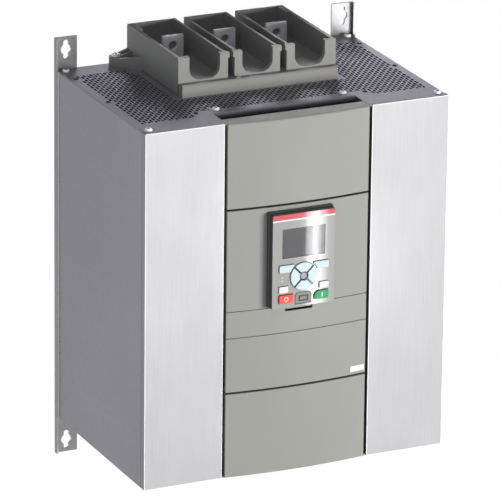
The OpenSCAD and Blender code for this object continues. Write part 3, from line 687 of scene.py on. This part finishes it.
remake("keypad_fascia", [M["fascia"], M["pad"]], 0.18, 2, edit=fascia_walls)
remake("display_module", M["lcd"], 0.2, 1)
remake("display_window", M["lens"], 0.15, 2)
remake("keypad_board", M["pcb"], 0.15, 1)
remake("status_lights", M["lamp"], 0.1, 2)
for n in ("left_soft_key", "right_soft_key", "up_key", "right_key", "down_key", "left_key"):
    remake(n, M["key_blue"], 0.45, 3, 40)
for n in ("info_key", "local_remote_key"):
    remake(n, M["key_white"], 0.45, 3, 40)
remake("stop_key", M["key_red"], 0.5, 3, 40)
remake("start_key", M["key_green"], 0.5, 3, 40)
bm = bmesh.new()
bmesh.ops.create_cone(bm, cap_ends=True, segments=40, radius1=4.0 * MM, radius2=3.6 * MM, depth=0.7 * MM, matrix=Matrix.Translation((0, -0.26632, 0.0252)) @ Matrix.Rotation(rad(90), 4, "X"))
finish_mesh(bm, "key_hub", M["hub"], "keypad", 30)
# plain signs on the two big keys: a ring for stop and a bar for start
bm = bmesh.new()
ring = curve_mesh([circle_pts(-21.1, 0, 2.5, 40), circle_pts(-21.1, 0, 1.8, 40)], 0, 0.12, 0.03)
ring.transform(Matrix.Translation((0, -0.268, 0.0014)) @ Matrix.Rotation(rad(90), 4, "X"))
bm.from_mesh(ring)
finish_mesh(bm, "stop_sign", M["mark"], "stop_key", 30)
bm = bmesh.new()
add_box(bm, 21.4, 22.6, -268.12, -267.9, -1.1, 3.9, 0.05)
finish_mesh(bm, "start_sign", M["mark"], "start_key", 30)
remake("usb_cover", [M["flap"], M["pad"]], 0.2, 2, 40, edit=flap_groove_shade)
remake("keypad_latch", M["cover"], 0.4, 2)

# ------------------------------------------------------------------ camera, floor and light
AZ, EL, ROLL, TX, TY, DIST, FPX = -0.4325775, 0.3370203, 0.0111685, 52.9069, -29.5014, 6079.192, 5383.208
back = Vector((math.sin(AZ) * math.cos(EL), -math.cos(AZ) * math.cos(EL), math.sin(EL)))
right = Vector((0, 0, 1)).cross(back).normalized()
up = back.cross(right)
r2 = right * math.cos(ROLL) + up * math.sin(ROLL)
u2 = up * math.cos(ROLL) - right * math.sin(ROLL)
pos = (r2 * TX + u2 * TY + back * DIST) * MM
cam = bpy.data.cameras.new("camera")
cam.sensor_width = 36
cam.lens = 36 * FPX / 500
cam.clip_end = 100
co = bpy.data.objects.new("camera", cam)
scene.collection.objects.link(co)
co.matrix_world = Matrix(((r2.x, u2.x, back.x, pos.x), (r2.y, u2.y, back.y, pos.y), (r2.z, u2.z, back.z, pos.z), (0, 0, 0, 1)))
scene.camera = co

me = bpy.data.meshes.new("floor")
bm = bmesh.new()
bmesh.ops.create_grid(bm, x_segments=1, y_segments=1, size=30)
for v in bm.verts:
    v.co.z = -0.2489
bm.to_mesh(me)
bm.free()
floor = bpy.data.objects.new("floor", me)
scene.collection.objects.link(floor)
fm = bpy.data.materials.new("pale_floor")
fm.use_nodes = True
fb = fm.node_tree.nodes["Principled BSDF"]
fb.inputs["Base Color"].default_value = (0.04, 0.04, 0.04, 1)
fb.inputs["Roughness"].default_value = 0.9
fb.inputs["Specular IOR Level"].default_value = 0.0
fb.inputs["Emission Color"].default_value = (0.99, 0.99, 1.01, 1)
# the floor glows a little more further out in front, which the upper part of the panels mirrors
fn = fm.node_tree
f_tc, f_sep, f_map = (fn.nodes.new("ShaderNode" + k) for k in ("TexCoord", "SeparateXYZ", "MapRange"))
f_map.inputs["From Min"].default_value = -1.40
f_map.inputs["From Max"].default_value = -0.30
f_map.inputs["To Min"].default_value = 1.27
f_map.inputs["To Max"].default_value = 0.99
fn.links.new(f_tc.outputs["Object"], f_sep.inputs[0])
fn.links.new(f_sep.outputs["Y"], f_map.inputs["Value"])
fn.links.new(f_map.outputs["Result"], fb.inputs["Emission Strength"])
me.materials.append(fm)

world = bpy.data.worlds.new("studio")
scene.world = world
world.use_nodes = True
bg = world.node_tree.nodes["Background"]
bg.inputs["Color"].default_value = (0.93, 0.95, 1.0, 1)
bg.inputs["Strength"].default_value = 0.14


def area(name, target, az, el, dist, w, h, power, color=(1, 1, 1)):
    li = bpy.data.lights.new(name, "AREA")
    li.shape = "RECTANGLE"
    li.size, li.size_y = w, h
    li.energy = power
    li.color = color
    ob = bpy.data.objects.new(name, li)
    scene.collection.objects.link(ob)
    d = Vector((math.sin(rad(az)) * math.cos(rad(el)), -math.cos(rad(az)) * math.cos(rad(el)), math.sin(rad(el))))
    ob.location = Vector(target) + d * dist
    ob.rotation_euler = d.to_track_quat("Z", "Y").to_euler()
    ob.visible_camera = False
    return ob


key = area("key", (0, -0.15, 0), 30, 4, 3.2, 1.2, 0.5, 208, (1.0, 0.985, 0.935))
key.visible_glossy = False
top = area("top", (0.15, -0.02, 0.2), 163, 28, 1.3, 0.4, 0.4, 5.2, (1.0, 0.99, 0.98))
top.data.spread = rad(40)
top.visible_glossy = False

sky = area("sky", (0, -0.1, 0.2), -40, 46, 3.6, 2.6, 2.6, 38, (0.97, 0.98, 1.0))
sky.visible_glossy = False
fill = area("fill", (0, -0.1, 0), -82, 6, 3.4, 1.8, 1.4, 21.5, (0.93, 0.95, 1.0))
fill.visible_glossy = False



def flag(name, corners, glow, shade_only=False):
    """A dark card that only shows in reflections, or only casts shade; corners in millimetres."""
    me = bpy.data.meshes.new(name)
    bm = bmesh.new()
    for c in corners:
        bm.verts.new(Vector(c) * MM)
    bm.faces.new(bm.verts)
    bm.to_mesh(me)
    bm.free()
    ob = bpy.data.objects.new(name, me)
    scene.collection.objects.link(ob)
    m = bpy.data.materials.new(name)
    m.use_nodes = True
    b = m.node_tree.nodes["Principled BSDF"]
    b.inputs["Base Color"].default_value = (0.02, 0.02, 0.02, 1)
    b.inputs["Emission Color"].default_value = (1, 1, 1, 1)
    b.inputs["Emission Strength"].default_value = glow
    me.materials.append(m)
    ob.visible_camera = False
    ob.visible_diffuse = False
    ob.visible_shadow = shade_only
    if shade_only:
        ob.visible_glossy = False
        ob.visible_transmission = False


# one under the enclosure, and one on the floor behind it for the inner faces of the rails
flag("flag_under", [(-178, -240, -248.6), (178, -240, -248.6), (178, 30, -248.6), (-178, 30, -248.6)], 0.22)
flag("flag_behind", [(-800, 700, -248.5), (60, 700, -248.5), (60, 1900, -248.5), (-800, 1900, -248.5)], 0.0)
# one behind the terminal cups keeps the rear light out of them
flag("flag_cups", [(-92, 5, 240), (142, 5, 240), (142, 5, 296), (-92, 5, 296)], 0.0, True)

# slim reflector card that draws one soft streak on the keypad's glossy foil
t = 230.0
cx, cyy, cz = 18.8 + 0.395 * t, -266 - 0.857 * t, 44 - 0.330 * t
me = bpy.data.meshes.new("streak_card")
bm = bmesh.new()
for dx, dz in ((-13, -62), (13, -62), (13, 62), (-13, 62)):
    bm.verts.new(Vector((cx + dx, cyy, cz + dz)) * MM)
bm.faces.new(bm.verts)
bm.to_mesh(me)
bm.free()
card = bpy.data.objects.new("streak_card", me)
scene.collection.objects.link(card)
cm = bpy.data.materials.new("streak_card")
cm.use_nodes = True
nt = cm.node_tree
nt.nodes.clear()
em = nt.nodes.new("ShaderNodeEmission")
em.inputs["Strength"].default_value = 17.0
out = nt.nodes.new("ShaderNodeOutputMaterial")
tc = nt.nodes.new("ShaderNodeTexCoord")
sx = nt.nodes.new("ShaderNodeSeparateXYZ")
mr = nt.nodes.new("ShaderNodeMapRange")
mr.inputs["From Min"].default_value = (cx - 13) * MM
mr.inputs["From Max"].default_value = (cx + 13) * MM
cr = nt.nodes.new("ShaderNodeValToRGB")
for k, (pos, val) in enumerate(((0.0, 0.42), (0.2, 0.6), (0.38, 1.0), (0.5, 1.0), (0.76, 0.4), (1.0, 0.2))):
    e = cr.color_ramp.elements[k] if k < 1 else cr.color_ramp.elements.new(pos)
    e.position = pos
    e.color = (val, val, val, 1)
for e in list(cr.color_ramp.elements):
    if e.position == 1.0 and e.color[0] > 0.5:
        cr.color_ramp.elements.remove(e)
nt.links.new(tc.outputs["Object"], sx.inputs[0])
nt.links.new(sx.outputs["X"], mr.inputs["Value"])
nt.links.new(mr.outputs["Result"], cr.inputs[0])
nt.links.new(cr.outputs["Color"], em.inputs["Color"])
nt.links.new(em.outputs[0], out.inputs["Surface"])
me.materials.append(cm)
card.visible_camera = False
card.visible_diffuse = False
card.visible_shadow = False
card.visible_transmission = False

scene.view_settings.view_transform = "Standard"
